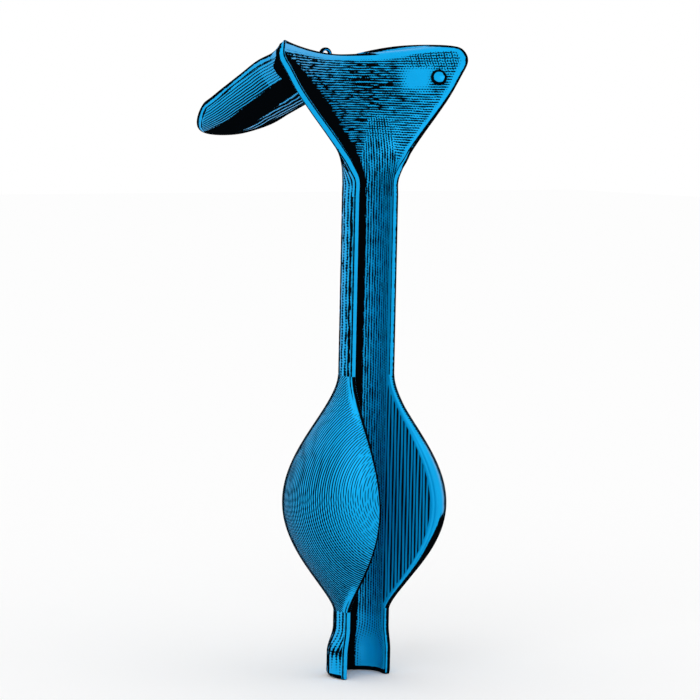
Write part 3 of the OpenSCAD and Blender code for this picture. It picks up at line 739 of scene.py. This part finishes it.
class SPECULUM_OT_saddle(Maker, bpy.types.Operator):
    """Build the saddle with its two wings, from the trough over the crest to the blade"""
    bl_idname = "speculum.saddle"
    bl_label = "Saddle flange"

    def execute(self, context):
        sheet = Sheet(context.scene.speculum_sheet)
        steps = 12
        p = np.array([Sheet.JOINT + i / steps for i in range((Sheet.ROOT - Sheet.JOINT) * steps + 1)])
        loops = formed_rings(sheet, np.stack([p, np.ones_like(p)], 1))
        inner = loops[:, :FACE]
        t = np.broadcast_to(FACE_T, (len(p), FACE))
        side = np.abs(t)
        p = over_face(p)
        u = section_place(inner)
        on_blade = ramp(p, 12.5, 13.5)
        u = u + (blade_place(t) - u) * on_blade
        v = over_face(arc_lengths(inner[None, :, SIDE + SIDE // 2])[0])
        # The ragged shade of the left rim, from the trough's floor up to the left wing
        rim_shade = table([1, 2, 3, 4, 5, 6, 7, 8, 9, 10],
                          [0.25, 0.24, 0.13, -0.06, -0.26, -0.38, -0.5, -0.68, -0.86, -1.0], p)
        wide = table([1, 4, 8], [0.5, 0.5, 1.2], p)
        soft = table([1, 3, 5, 8], [0.02, 0.04, 0.14, 0.12], p)
        black = ramp(t, rim_shade + soft, rim_shade - soft)
        black = black * ramp(t, rim_shade - wide - 0.05, rim_shade - wide + 0.03) * ramp(p, 9.7, 9.2)
        # A painted lighter tongue that rises from the trough's floor, cross-hatched at its top
        left = table([1, 3, 4, 5, 6], [0.0, 0.1, 0.15, 0.18, 0.22], p)
        right = table([1, 2.6, 3, 4, 5, 6], [1.5, 1.5, 1.0, 0.72, 0.5, 0.4], p)
        tongue = ramp(p, 6.0, 5.4) * ramp(t, left - 0.05, left + 0.03) * ramp(t, right + 0.05, right - 0.05)
        upright = 0.6 - 0.1 * ramp(p, 3.5, 5.0)
        hatch = 0.4 * ramp(p, 4.2, 4.9)
        # Level lines of painted shade, heaviest in the middle, stopping for a painted highlight round the
        # rivet and a painted light band under the crest
        level = 0.66 - 0.08 * ramp(t, 0.25, 0.8)
        level = level + 0.1 * ramp(t, rim_shade + 0.5, rim_shade + 0.1)
        level = level + 0.22 * np.exp(-((t - 0.22) / 0.25)**2 - ((p - 7.2) / 1.3)**2)
        painted_highlight = np.exp(-((t - 0.6) / 0.13)**4 - ((p - 7.7) / 0.65)**4)
        level = level * (1 - painted_highlight)
        start = 8.9 + 1.1 * ramp(t, 0.3, 0.75) + 0.35 * ramp(t, -0.2, -0.6)
        crest = ramp(p, start, start + 0.5)
        dots = ramp(t, 0.4, 0.6) * ramp(p, 7.6, 8.6) * ramp(t, 0.96, 0.9) * (1 - crest)
        level = level * (1 - crest) * (1 - 0.25 * dots)
        level = level * (1 - tongue) * ramp(t, 0.965, 0.9) * ramp(t, -0.985, -0.95) + hatch * tongue
        # A black line along the crest, up to the right wing, and one along that wing's rim
        low = 10.15 + 0.3 * ramp(side, 0.3, 0.9)
        crest_line = ramp(p, low, low + 0.15) * ramp(p, 11.75, 11.55) * ramp(t, 0.4, 0.3)
        rim_line = ramp(t, 0.94, 0.97) * ramp(p, 10.7, 11.2) * ramp(p, 14.6, 14.2)
        over = ramp(p, 13.2, 14.0)
        across = upright * tongue + 0.42 * dots * (1 - painted_highlight) + gutter_lines(side) * over
        solid = np.maximum(np.maximum(black, crest_line), rim_line)
        inside = weights_of(across, level * (1 - over), solid, like=t)
        # Outside, lines along the stem and the blade, and across the funnel between them
        stem = ramp(p, 4.6, 3.2)
        behind = ramp(p, 13.6, 14.6)
        # Painted shade under the blade: its lines grow heavier towards the middle of its floor
        under_blade = 0.42 + 0.22 * ramp(side, 0.62, 0.45) + 0.1 * ramp(side, 0.27, 0.17)
        lengthwise = np.maximum(stem * outside_lines(side), behind * under_blade)
        crosswise = 0.5 * (1 - stem) * (1 - behind) * ramp(side, 1.0, 0.94)
        # Shadows behind the wings and under the flare, and the start of the blade's dark band
        edge = 15.15 - 0.75 * ramp(side, 0.8, 0.97)
        behind_wing = ramp(p, 12.2, 13.0) * ramp(p, edge + 0.1, edge - 0.1) * ramp(side, 0.45, 0.6)
        under_flare = 0.66 * ramp(p, 2.4, 3.3) * ramp(p, 5.2, 4.2) * ramp(side, 0.2, 0.5)
        band = ramp(p, 13.6, 14.2) * ramp(side, 0.615, 0.555) * ramp(side, 0.21, 0.29)
        dark = np.maximum(np.maximum(behind_wing, under_flare), band)
        outside = weights_of(lengthwise * ramp(side, 0.97, 0.93), crosswise, dark, like=t)
        rim = ramp(p, 14.6, 15.2) * blade_rim(rim_distance(inner))
        outside[..., SOLID] = np.maximum(outside[..., SOLID], rim)
        inks = rim_inks(len(p), ramp(p[:, :1], 3.6, 5.2), ramp(p[:, :1], 14.2, 15.0))
        spread = STEM_SPREAD + (1 - STEM_SPREAD) * ramp(p, 4.5, 6.5)
        place, shade = sheet_attributes(u, v, inside, outside, inks, 0.85 * on_blade, spread)
        at = p[:, :1]
        paint_outline_shade(context, loops, shade, (-1, 0), 0.7 * MM, LINES, ramp(at, 4.5, 4.0))
        right_wing = ramp(at, 3.0, 3.5) * ramp(at, 13.5, 12.8)
        paint_outline_shade(context, loops, shade, (1, 0.3), 0.85 * MM, SOLID, right_wing)
        left_corner = ramp(at, 8.6, 9.4) * ramp(at, 12.6, 12.2)
        paint_outline_shade(context, loops, shade, (-1, 0.5), 0.55 * MM, SOLID, left_corner)
        add_loops(context, "saddle_with_wings", loops, FACE, place, shade, "sheet_metal", "saddle_flange")
        return {"FINISHED"}


def trough_loop(sheet):
    """One closed loop of the trough's section, at z 0."""
    loop = formed_rings(sheet, [[Sheet.JOINT, 1.0], [Sheet.JOINT + 0.05, 1.0]])[0]
    loop[:, 2] = 0
    return loop


def outside_lines(side):
    """Weight of the lines outside the trough, a painted shade lightest on the middle of its side walls."""
    return 0.46 + 0.32 * ramp(side, 0.7, 0.52) + 0.36 * ramp(side, 0.82, 0.92)


def trough_weights(t):
    """Inside and outside weights of a straight stretch of trough."""
    side = np.abs(t)
    # Painted shade: the floor is black, a little further to the left than to the right, and the walls'
    # lines thin out to the right
    floor = ramp(t, 0.28, 0.22) * ramp(t, -0.32, -0.26)
    walls = (0.58 - 0.1 * ramp(t, 0.3, 0.8)) * ramp(side, 0.97, 0.92)
    return weights_of(walls, 0, floor, like=t), weights_of(outside_lines(side), 0, 0, like=t)


class SPECULUM_OT_trough(Maker, bpy.types.Operator):
    """Build the long trough that runs down through the weight"""
    bl_idname = "speculum.trough"
    bl_label = "Trough"

    def execute(self, context):
        sheet = Sheet(context.scene.speculum_sheet)
        weight = context.scene.speculum_weight
        bottom = -weight.drop - weight.bottom
        z = np.linspace(sheet.joint_z, bottom, 76)
        loops = np.repeat(trough_loop(sheet)[None], len(z), 0)
        loops[..., 2] = z[:, None]
        t = np.broadcast_to(FACE_T, (len(z), FACE))
        u = section_place(loops[:, :FACE])
        inside, outside = trough_weights(t)
        inks = rim_inks(len(z))
        place, shade = sheet_attributes(u, over_face(z), inside, outside, inks, 0.0, STEM_SPREAD)
        paint_outline_shade(context, loops, shade, (-1, 0), 0.7 * MM)
        add_loops(context, "drain_trough", loops, FACE, place, shade, "sheet_metal", "trough")
        return {"FINISHED"}


class SPECULUM_OT_tail(Maker, bpy.types.Operator):
    """Build the flared tail below the weight"""
    bl_idname = "speculum.tail"
    bl_label = "Tail spout"

    def execute(self, context):
        sheet = Sheet(context.scene.speculum_sheet)
        weight = context.scene.speculum_weight
        top = -weight.drop - weight.bottom
        end = top - weight.tail_len
        flat = trough_loop(sheet)
        # Away from the trough's axis round its floor, and straight to the sides on its walls
        away = flat - [0, sheet.axis_y, 0]
        away[:, 1] = np.maximum(away[:, 1], 0)
        away = unit(away)
        t = np.concatenate([FACE_T, np.ones(BAND), FACE_T[::-1], -np.ones(BAND)])
        outer = np.zeros(len(flat), bool)
        outer[FACE + CORNER:FACE + BAND + FACE + CORNER] = True
        # The flare and the rounding of the end fade towards the lips
        near_lip = ramp(np.abs(t), 0.62, 0.95)
        fade, toe_fade = 1 - 0.5 * near_lip, 1 - 0.75 * near_lip
        # The end is well rounded outside and hardly inside
        toe, inside_r = weight.toe_r, 0.35 * MM
        corner_r = np.where(outer, -toe, inside_r)
        flare_from, flare_to = top - 0.25 * weight.tail_len, top - 0.65 * weight.tail_len
        heights = list(np.linspace(top, end + toe, 40))
        rows = [flat + away * (weight.tail_flare * ramp(z, flare_from, flare_to) * fade)[:, None]
                for z in heights]
        last, turns = rows[-1], 10
        for turn in (math.pi / 2 * i / turns for i in range(1, turns + 1)):
            rows.append(last + away * (corner_r * (1 - math.cos(turn)) * toe_fade)[:, None])
            heights.append(end + toe * (1 - math.sin(turn)))
        loops = np.array(rows)
        loops[..., 2] = np.array(heights)[:, None]
        t = np.broadcast_to(FACE_T, (len(loops), FACE))
        u = section_place(loops[:, :FACE])
        v = over_face(heights)
        low = ramp(v, end + 9 * MM, end + 2 * MM)
        inside, outside = trough_weights(t)
        # Painted light inside: the lines thin out just below the weight, and over a lit patch on the right
        # wall near the end
        inside[..., 0] *= 1 - 0.3 * ramp(v, top - 1 * MM, top - 5 * MM)
        lit = ramp(np.abs(t - 0.55), 0.3, 0.15) * ramp(v, end + 18 * MM, end + 10 * MM)
        inside[..., 0] *= 1 - 0.9 * lit
        # Painted shade: a black end, and a crossed shade 10 mm above it, with the outside lines thinned
        # between them as painted light
        toe_ink = ramp(v, end + 2.0 * MM, end + 1.3 * MM)
        neck = np.exp(-((v - (end + 10 * MM)) / (1.8 * MM))**2) * ramp(np.abs(t), 0.35, 0.6)
        outside[..., 0] = 0.75 * outside[..., 0] * (1 - 0.7 * low) + 0.35 * neck
        outside[..., 1] = 0.45 * neck
        for face in (inside, outside):
            face[..., SOLID] = np.maximum(face[..., SOLID], toe_ink)
        place, shade = sheet_attributes(u, v, inside, outside, rim_inks(len(loops)), spread=STEM_SPREAD)
        paint_outline_shade(context, loops, shade, (-1, 0), 1.3 * MM)
        paint_outline_shade(context, loops, shade, (1, 0), 1.1 * MM, SOLID)
        add_loops(context, "tail_spout_flared", loops, FACE, place, shade, "sheet_metal", "tail_spout")
        return {"FINISHED"}


class Weight:
    """The weight's right half in plan, as outlines that swell from the trough's own outline."""
    # Points along the round side, round the slot's edge and along the flat cheek, and rows of them
    ARC = 48
    EDGE = 14
    WALL = 30
    ROWS = 120
    # How far the skin's outer and inner face stand off the trough at the necks
    AIR = 0.08 * MM
    INNER_AIR = 0.03 * MM
    # How far the cheek's end stands into the trough
    STAND = 0.04 * MM

    def __init__(self, sheet_sizes, weight):
        self.weight = weight
        self.r = weight.diameter / 2
        self.trough_r = sheet_sizes.trough_w / 2
        self.trough_in = self.trough_r - sheet_sizes.thickness
        self.lip = sheet_sizes.lip_len
        self.edge_r = sheet_sizes.edge_r
        self.axis_y = -sheet_sizes.crest_back
        self.z = -weight.drop
        slope = math.tan(weight.slot_angle)
        start = weight.slot_half - self.lip * slope
        # Where the slot's face, at x = start - y * slope, meets the widest ring
        a, b, c = 1 + slope**2, -2 * start * slope, start**2 - self.r**2
        y = (-b - math.sqrt(b * b - 4 * a * c)) / (2 * a)
        self.corner = np.array([start - y * slope, y])
        self.into = unit(np.array([self.trough_in, -self.lip]) - self.corner)

    def swell(self, u):
        """From 0 at a neck to 1 at the widest ring, u from -1 at the lower neck to 1 at the upper."""
        return (1 - u * u)**np.where(u < 0, 1.4, 1.8)

    def skin_r(self, u):
        """Radius of the skin, u as for swell."""
        return self.trough_r + (self.r - self.trough_r) * self.swell(u)

    def full(self, inset):
        """The outline at the widest ring, set in by the given amount: round side, slot edge."""
        r = self.r - inset
        corner = self.corner * (r / self.r)
        turn = np.linspace(math.pi / 2, self.corner_turn(r), self.ARC)
        side = np.stack([r * np.cos(turn), r * np.sin(turn)], -1)
        wall = corner + self.into * self.weight.slot_edge
        return side, self.bend(side[-1], corner, wall)

    def neck(self, grow):
        """The trough's outline, grown by the given amount: round side, lip."""
        r = self.trough_r + grow
        whole = self.corner_turn(self.r)
        turn = np.linspace(math.pi / 2, whole, self.ARC)
        side = np.stack([r * np.cos(np.maximum(turn, 0)), r * np.sin(np.maximum(turn, 0))], -1)
        side[:, 1] += np.minimum(turn, 0) / abs(whole) * (self.lip - self.edge_r)
        tip = np.array([(r + self.trough_in) / 2, -self.lip - grow])
        wall = np.array([self.trough_in, -self.lip + self.edge_r])
        corner_out = np.array([r, tip[1]])
        corner_in = np.array([self.trough_in, tip[1]])
        half = self.EDGE // 2
        first = self.bend(side[-1], corner_out, tip, half)
        second = self.bend(tip, corner_in, wall, self.EDGE - half)
        return side, np.concatenate([first, second])

    def corner_turn(self, r):
        """Turn at which a round side of radius r gives way to the slot's edge."""
        return math.atan2(self.corner[1], self.corner[0]) + self.weight.slot_edge / r

    def bend(self, start, corner, end, count=None):
        """Points of a curve round a corner, without its first one."""
        x = np.linspace(0, 1, (count or self.EDGE) + 1)[1:, None]
        return (1 - x)**2 * start + 2 * x * (1 - x) * corner + x * x * end

    def outline(self, s, inset, grow):
        """The outline where the swell is s, from the neck's at 0 to the widest ring's at 1."""
        side_a, edge_a = self.neck(grow)
        side_b, edge_b = self.full(inset)
        return (1 - s) * np.concatenate([side_a, edge_a]) + s * np.concatenate([side_b, edge_b])

    def wall(self, s):
        """The flat cheek in plan, from the slot's edge to just inside the trough."""
        edge_point = self.outline(s, 0, self.AIR)[-1]
        lip = np.array([self.trough_in - self.STAND, -self.lip + self.edge_r])
        tuck = lip + np.array([0, 1.0 * MM])
        x = np.linspace(0, 1, self.WALL)[:, None]
        return np.concatenate([(1 - x) * edge_point + x * lip, tuck[None]])

    def away(self, points, hand):
        """Distance from a point before the slot edge; the skin's lines lie on circles round it."""
        x, y = self.corner * (0.45, 1.3)
        pole = np.array([hand * x, self.axis_y + y, self.z + 6 * MM])
        return np.linalg.norm(points - pole, axis=-1)

    def levels(self):
        """Swell and height of the rows, closer together at the two necks."""
        u = np.sin(np.linspace(-math.pi / 2, math.pi / 2, self.ROWS))
        z = self.z + u * np.where(u < 0, self.weight.bottom, self.weight.top)
        return self.swell(u), z[:, None]

    def add_half(self, context, name, front, back, place, shade, hand, node):
        """A piece from a front and a back in plan, with the front's line work. The back is plain."""
        loops = self.place(np.concatenate([front, back[:, ::-1]], 1), self.levels()[1], hand)
        place = np.concatenate([place, place[:, ::-1]], 1)
        shade = np.concatenate([shade, 0 * shade], 1)
        add_loops(context, name, loops, front.shape[1], place, shade, "weight_skin", node)

    def place(self, plan, z, hand):
        """Points in the row frame from points in plan."""
        z = np.broadcast_to(z, plan.shape[:-1])
        return np.stack([hand * plan[..., 0], self.axis_y + plan[..., 1], z], -1)


# Side of the centre plane and its name
HANDS = ((-1, "left"), (1, "right"))


class SPECULUM_OT_weight_shells(Maker, bpy.types.Operator):
    """Build the two half shells of the weight, with rounded edges along the slot"""
    bl_idname = "speculum.weight_shells"
    bl_label = "Weight shells"
    # Lines lie a little closer together than on the sheet
    FINE = 1.12

    def execute(self, context):
        form = Weight(context.scene.speculum_sheet, context.scene.speculum_weight)
        s, z = form.levels()
        outer = np.array([form.outline(k, 0, form.AIR) for k in s])
        inner = np.array([form.outline(k, form.weight.shell_t, form.INNER_AIR) for k in s])
        for hand, side in HANDS:
            skin = form.place(outer, z, hand)
            away = form.away(skin, hand)
            along = arc_lengths(skin) + 0.6 * skin[..., 2]
            place = np.stack([self.FINE * away, self.FINE * along, np.full_like(away, 0.9)], -1)
            shade = self.shade(form, skin, s, hand)
            paint_outline_shade(context, skin, shade, (hand, 0), 1.0 * MM)
            form.add_half(context, f"weight_shell_{side}_skin", outer, inner, place, shade, hand,
                          f"weight_shell_{side}")
        return {"FINISHED"}

    def shade(self, form, skin, s, hand):
        """Curved lines of painted shade round a painted light zone beside the slot, heavier towards the far
        side and below.
        """
        z = skin[..., 2]
        away = form.away(skin, hand)
        lines = 0.32 + 0.3 * ramp(away, 17 * MM, 38 * MM) + 0.08 * ramp(away, 40 * MM, 55 * MM)
        lines = lines + 0.05 * ramp(z, form.z, form.z - 25 * MM)
        lines = lines - 0.15 * ramp(z, form.z + 12 * MM, form.z + 30 * MM)
        index = np.arange(skin.shape[1])
        first = form.ARC
        neck = ramp(s, 0.5, 0.1)[:, None]
        side_line = np.exp(-((index - first) / 1.2)**2) * ramp(s, 0.25, 0.02)[:, None]
        near_edge = ramp(np.linalg.norm(skin - skin[:, first:first + 1], axis=-1), 2.5 * MM, 0.5 * MM)
        if hand < 0:
            # The near lobe is lined up to the black line on its slot edge
            lines = lines * (1 - near_edge * neck)
            wall_line = ramp(index, first + 3, first + 4) * ramp(index, first + 10, first + 9)
            under = 0.0
        else:
            # The far lobe has a painted bright slot edge and turns away into painted shadow below its
            # widest ring
            lines = np.where(index >= first, 0, lines * (1 - near_edge))
            wall_line = 0.0
            reach = first + 4 + 6 * ramp(z, form.z, form.z - 15 * MM)
            under = ramp(z, form.z + 2 * MM, form.z - 7 * MM) * ramp(index, reach + 1, reach - 1)
            under = under * ramp(index, first - 9, first - 6)
        return np.stack([lines, np.zeros_like(lines), wall_line + side_line + under], -1)


class SPECULUM_OT_slot_cheeks(Maker, bpy.types.Operator):
    """Build the two flat cheeks along the slot"""
    bl_idname = "speculum.slot_cheeks"
    bl_label = "Slot cheeks"
    # Least thickness of the plate
    LEAST = 0.03 * MM

    def execute(self, context):
        form = Weight(context.scene.speculum_sheet, context.scene.speculum_weight)
        s, z = form.levels()
        face = np.array([form.wall(k) for k in s])
        normal = np.array([-form.into[1], form.into[0]])
        normal = normal if normal[0] > 0 else -normal
        # The plate thins out towards the two necks and the lip
        deep = form.weight.cheek_t * ramp(s, 0.0, 0.3)[:, None]
        deep = deep * ramp(-face[..., 1], form.lip, form.lip + 2 * MM)
        back = face + normal * np.maximum(deep, self.LEAST)[..., None]
        # Lines of painted shade up and down the cheek, at even distances from the lip, with a painted
        # bright edge along the slot
        reach = np.linalg.norm(face - face[:, -2:-1], axis=-1)
        lines = 0.56 * ramp(reach[:, :1] - reach, 0.5 * MM, 1.2 * MM)
        shade = np.stack([lines, 0 * lines, 0 * lines], -1)
        # Places along the lines are drawn together, so that each line is one long stroke
        strokes = np.broadcast_to(0.03 * z, reach.shape)
        place = np.stack([0.66 * reach, strokes, np.full_like(reach, 0.7)], -1)
        for hand, side in HANDS:
            form.add_half(context, f"slot_cheek_{side}_plate", face, back, place, shade, hand,
                          f"slot_cheek_{side}")
        return {"FINISHED"}


class SPECULUM_OT_filling(Maker, bpy.types.Operator):
    """Give the lead filling its finish and build the plug of the filling hole"""
    bl_idname = "speculum.filling"
    bl_label = "Filling and plug"

    def execute(self, context):
        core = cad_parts["lead_core"]
        core.data.materials.clear()
        core.data.materials.append(finish_of(context, cast_lead, "cast_lead"))
        form = Weight(context.scene.speculum_sheet, context.scene.speculum_weight)
        weight = form.weight
        r = weight.plug_d / 2
        out_r = form.skin_r(np.array(-weight.plug_low / weight.bottom))
        way = np.array([math.cos(weight.plug_turn), math.sin(weight.plug_turn), 0.0])
        side = np.array([-way[1], way[0], 0.0])
        up = np.array([0.0, 0.0, 1.0])
        centre = np.array([0.0, form.axis_y, form.z - weight.plug_low])
        turns, round_r, foot, crown = 64, 0.5 * MM, -0.6 * MM, 0.05 * MM
        turn = np.linspace(0, 2 * math.pi, turns, endpoint=False)
        # Rings as (radius, height over the skin): under the skin, round the rim and in to the middle
        profile = [(r, foot)]
        profile += [(r - round_r * (1 - math.cos(a)), weight.plug_proud - round_r * (1 - math.sin(a)))
                    for a in np.linspace(0, math.pi / 2, 6)]
        profile += [(r * k, weight.plug_proud + crown * (1 - k)) for k in (0.8, 0.6, 0.4, 0.2)]
        rings = []
        for radius, height in profile:
            across, along = radius * np.cos(turn), radius * np.sin(turn)
            skin_r = form.skin_r((along - weight.plug_low) / weight.bottom)
            depth = np.sqrt(skin_r**2 - across**2) + height
            rings.append(centre + way * depth[:, None] + side * across[:, None] + up * along[:, None])
        ends = [centre + way * (out_r + height) for height in (foot, weight.plug_proud + crown)]
        points = np.concatenate([*rings, ends])
        offset, none = points - centre, np.zeros(len(points))
        place = np.stack([offset @ side, offset @ up, none], -1)
        # A black joint round the plug, which is lightly lined itself
        joint = np.where(np.arange(len(points)) < 2 * turns, 1, 0)
        shade = np.stack([none + 0.3, none, joint], -1)
        faces = capped_faces(len(profile), turns)
        add_piece(context, "filling_plug", points, faces, place, shade, "fittings", "filler_plug")
        return {"FINISHED"}


def lathed(profile, turns):
    """Points and faces of a profile of (radius, height, solid) turned round the z axis, closed at both
    ends on the axis."""
    turn = np.linspace(0, 2 * math.pi, turns, endpoint=False)
    radii, heights, solids = zip(*profile)
    rings = [np.stack([r * np.cos(turn), r * np.sin(turn), np.full(turns, h)], -1)
             for r, h in zip(radii, heights)]
    points = np.concatenate([*rings, [[0, 0, heights[0]], [0, 0, heights[-1]]]])
    solid = np.concatenate([np.repeat(solids, turns), [solids[0], solids[-1]]])
    return points, capped_faces(len(profile), turns), solid


# Station and share of the half section
RIVET_AT = (7.7, 0.785)


class SPECULUM_OT_rivet(Maker, bpy.types.Operator):
    """Build the dished rivet in the right wing"""
    bl_idname = "speculum.rivet"
    bl_label = "Wing rivet"

    def execute(self, context):
        fittings = context.scene.speculum_fittings
        sheet = Sheet(context.scene.speculum_sheet)
        at = sheet.inner(*RIVET_AT)
        facing = -sheet.outward(*RIVET_AT)
        r, high = fittings.rivet_head_d / 2, fittings.rivet_head_h
        dish = fittings.rivet_dish_d / 2
        thick = sheet.sizes.thickness
        round_r = 0.45 * MM
        bevel = np.linspace(0, math.pi / 2, 6)
        profile = [(r * k, -thick - high, 0) for k in (0.35, 0.7)]
        profile += [(r - round_r + round_r * math.sin(a), -thick - high + round_r * (1 - math.cos(a)), 0)
                    for a in bevel]
        profile += [(r, -thick, 1), (r, 0, 1)]
        profile += [(r - round_r * (1 - math.cos(a)), high - round_r * (1 - math.sin(a)), 1) for a in bevel]
        profile += [(dish + 0.25 * MM, high, 1), (dish, high - 0.03 * MM, 0.4)]
        bowl_r = 2 * dish
        bowl_z = high + math.sqrt(bowl_r**2 - dish**2)
        profile += [(dish * k, bowl_z - math.sqrt(bowl_r**2 - (dish * k)**2), 0)
                    for k in (0.9, 0.75, 0.5, 0.25)]
        points, faces, solid = lathed(profile, 64)
        turn = Vector(facing).to_track_quat("Z", "X").to_matrix()
        points = points @ np.array(turn).T + at
        place = np.stack([points[:, 0], points[:, 2], 0 * solid], -1)
        shade = np.stack([0 * solid, 0 * solid, solid], -1)
        add_piece(context, "dished_rivet", points, faces, place, shade, "fittings", "wing_rivet")
        return {"FINISHED"}


# Station that the tie loop stands on
LOOP_AT = 13.05


class SPECULUM_OT_tie_loop(Maker, bpy.types.Operator):
    """Build the small standing ring behind the crest"""
    bl_idname = "speculum.tie_loop"
    bl_label = "Tie loop"

    def execute(self, context):
        fittings = context.scene.speculum_fittings
        sheet = Sheet(context.scene.speculum_sheet)
        s = sheet.station(np.array(LOOP_AT))
        foot = sheet.inner(LOOP_AT, -fittings.loop_side / (3 * s[6] * s[2]))
        centre = foot + np.array([0, 0, fittings.loop_d / 2 - sheet.sizes.edge_r])
        mean = (fittings.loop_d + fittings.loop_bore) / 4
        wide = (fittings.loop_d - fittings.loop_bore) / 4
        thick = fittings.loop_t / 2
        turns, ring = 72, 24
        around = np.linspace(0, 2 * math.pi, turns, endpoint=False)
        tube = np.linspace(0, 2 * math.pi, ring, endpoint=False)
        # A squared round section, fuller than an ellipse
        power = 0.7
        radius = mean + wide * np.sign(np.cos(tube)) * np.abs(np.cos(tube))**power
        deep = thick * np.sign(np.sin(tube)) * np.abs(np.sin(tube))**power
        points = np.stack([centre[0] + np.outer(np.cos(around), radius),
                           centre[1] + np.outer(np.ones(turns), deep),
                           centre[2] + np.outer(np.sin(around), radius)], -1)
        count = turns * ring
        faces = [tuple(corner % count for corner in quad) for quad in ring_quads(turns + 1, ring)]
        none = np.zeros(count)
        place = np.stack([np.repeat(around, ring) * mean, np.tile(tube, turns) * wide, none], -1)
        # Black but for a bright line round each face, near the bore
        solid = np.tile(0.9 * (np.cos(tube) > -0.1) + 0.9 * (np.cos(tube) < -0.6), turns)
        shade = np.stack([none, none, solid], -1)
        add_piece(context, "standing_tie_loop", points, faces, place, shade, "fittings", "tie_loop")
        return {"FINISHED"}


class SPECULUM_OT_stage(Maker, bpy.types.Operator):
    """Set up the floor, the studio light and the camera"""
    bl_idname = "speculum.stage"
    bl_label = "Stage"
    FLOOR_HALF = 4.0
    FLOOR_GAP = 0.2 * MM
    # Light of the surroundings on the object, as a share of the white that the camera sees
    AMBIENT = 0.90

    def execute(self, context):
        stage = context.scene.speculum_stage
        self.floor(context, stage)
        self.world(context)
        self.lamps(context)
        self.camera(context, stage)
        context.scene.view_settings.view_transform = "Standard"
        return {"FINISHED"}

    def floor(self, context, stage):
        half = self.FLOOR_HALF
        z = CAD_BOX[0].z - self.FLOOR_GAP
        corners = [(-half, -half, z), (half, -half, z), (half, half, z), (-half, half, z)]
        mesh = bpy.data.meshes.new("floor")
        mesh.from_pydata(corners, [], [(0, 1, 2, 3)])
        material = bpy.data.materials.new("matt_white_board")
        material.use_nodes = True
        shader = material.node_tree.nodes["Principled BSDF"]
        shader.inputs["Base Color"].default_value = linear(stage.floor)
        shader.inputs["Roughness"].default_value = 0.9
        shader.inputs["Specular IOR Level"].default_value = 0.0
        mesh.materials.append(material)
        floor = bpy.data.objects.new("floor", mesh)
        context.scene.collection.objects.link(floor)

    def world(self, context):
        """White where the camera, gloss or glass sees it, and a plain soft light on the object."""
        world = bpy.data.worlds.new("studio")
        context.scene.world = world
        tree = empty_tree(world)
        path = add_node(tree, "LightPath")
        seen = add_node(tree, "Math", path["Is Camera Ray"], path["Is Glossy Ray"], operation="MAXIMUM")[0]
        seen = add_node(tree, "Math", seen, path["Is Transmission Ray"], operation="MAXIMUM")[0]
        light = add_node(tree, "Math", seen, 1 - self.AMBIENT, self.AMBIENT, operation="MULTIPLY_ADD")[0]
        white = add_node(tree, "Background", (1.0, 1.0, 1.0, 1.0), light)[0]
        add_node(tree, "OutputWorld", white)

    def lamps(self, context):
        """One broad soft key from the upper left of the camera."""
        light = bpy.data.lights.new("soft_key", "SUN")
        light.energy = 0.45
        light.angle = math.radians(40)
        key = bpy.data.objects.new("soft_key", light)
        context.scene.collection.objects.link(key)
        towards = Vector((-0.75, -0.45, 0.85))
        key.rotation_euler = towards.to_track_quat("Z", "Y").to_euler()

    def camera(self, context, stage):
        data = bpy.data.cameras.new("camera")
        camera = bpy.data.objects.new("camera", data)
        context.scene.collection.objects.link(camera)
        context.scene.camera = camera
        view = Picture(context)
        turned = Matrix((view.right, view.up, view.back)).transposed()
        turned = turned @ Matrix.Rotation(stage.roll, 3, "Z")
        camera.matrix_world = Matrix.Translation(view.place) @ turned.to_4x4()
        data.sensor_width = 36.0
        data.lens = data.sensor_width * stage.distance / stage.view_w
        data.clip_start, data.clip_end = 0.05, 20.0


OPERATORS = (
    SPECULUM_OT_blade,
    SPECULUM_OT_saddle,
    SPECULUM_OT_trough,
    SPECULUM_OT_tail,
    SPECULUM_OT_weight_shells,
    SPECULUM_OT_slot_cheeks,
    SPECULUM_OT_filling,
    SPECULUM_OT_rivet,
    SPECULUM_OT_tie_loop,
    SPECULUM_OT_stage,
)


class SPECULUM_PT_panel(bpy.types.Panel):
    """Sizes, finish and operators of the speculum"""
    bl_idname = "SPECULUM_PT_panel"
    bl_label = "Weighted Speculum"
    bl_space_type = "VIEW_3D"
    bl_region_type = "UI"
    bl_category = "Speculum"

    def draw(self, context):
        for key, group in GROUPS.items():
            box = self.layout.box()
            box.label(text=group.__doc__)
            settings = getattr(context.scene, key)
            for name in group.__annotations__:
                box.prop(settings, name)
        for operator in OPERATORS:
            self.layout.operator(operator.bl_idname)


CLASSES = (*GROUPS.values(), *OPERATORS, SPECULUM_PT_panel)


def register():
    for cls in CLASSES:
        bpy.utils.register_class(cls)
    for key, group in GROUPS.items():
        setattr(bpy.types.Scene, key, bpy.props.PointerProperty(type=group))


def unregister():
    for key in GROUPS:
        delattr(bpy.types.Scene, key)
    for cls in reversed(CLASSES):
        bpy.utils.unregister_class(cls)


def main():
    register()
    for operator in OPERATORS:
        group, name = operator.bl_idname.split(".")
        getattr(getattr(bpy.ops, group), name)()


if __name__ == "__main__":
    main()
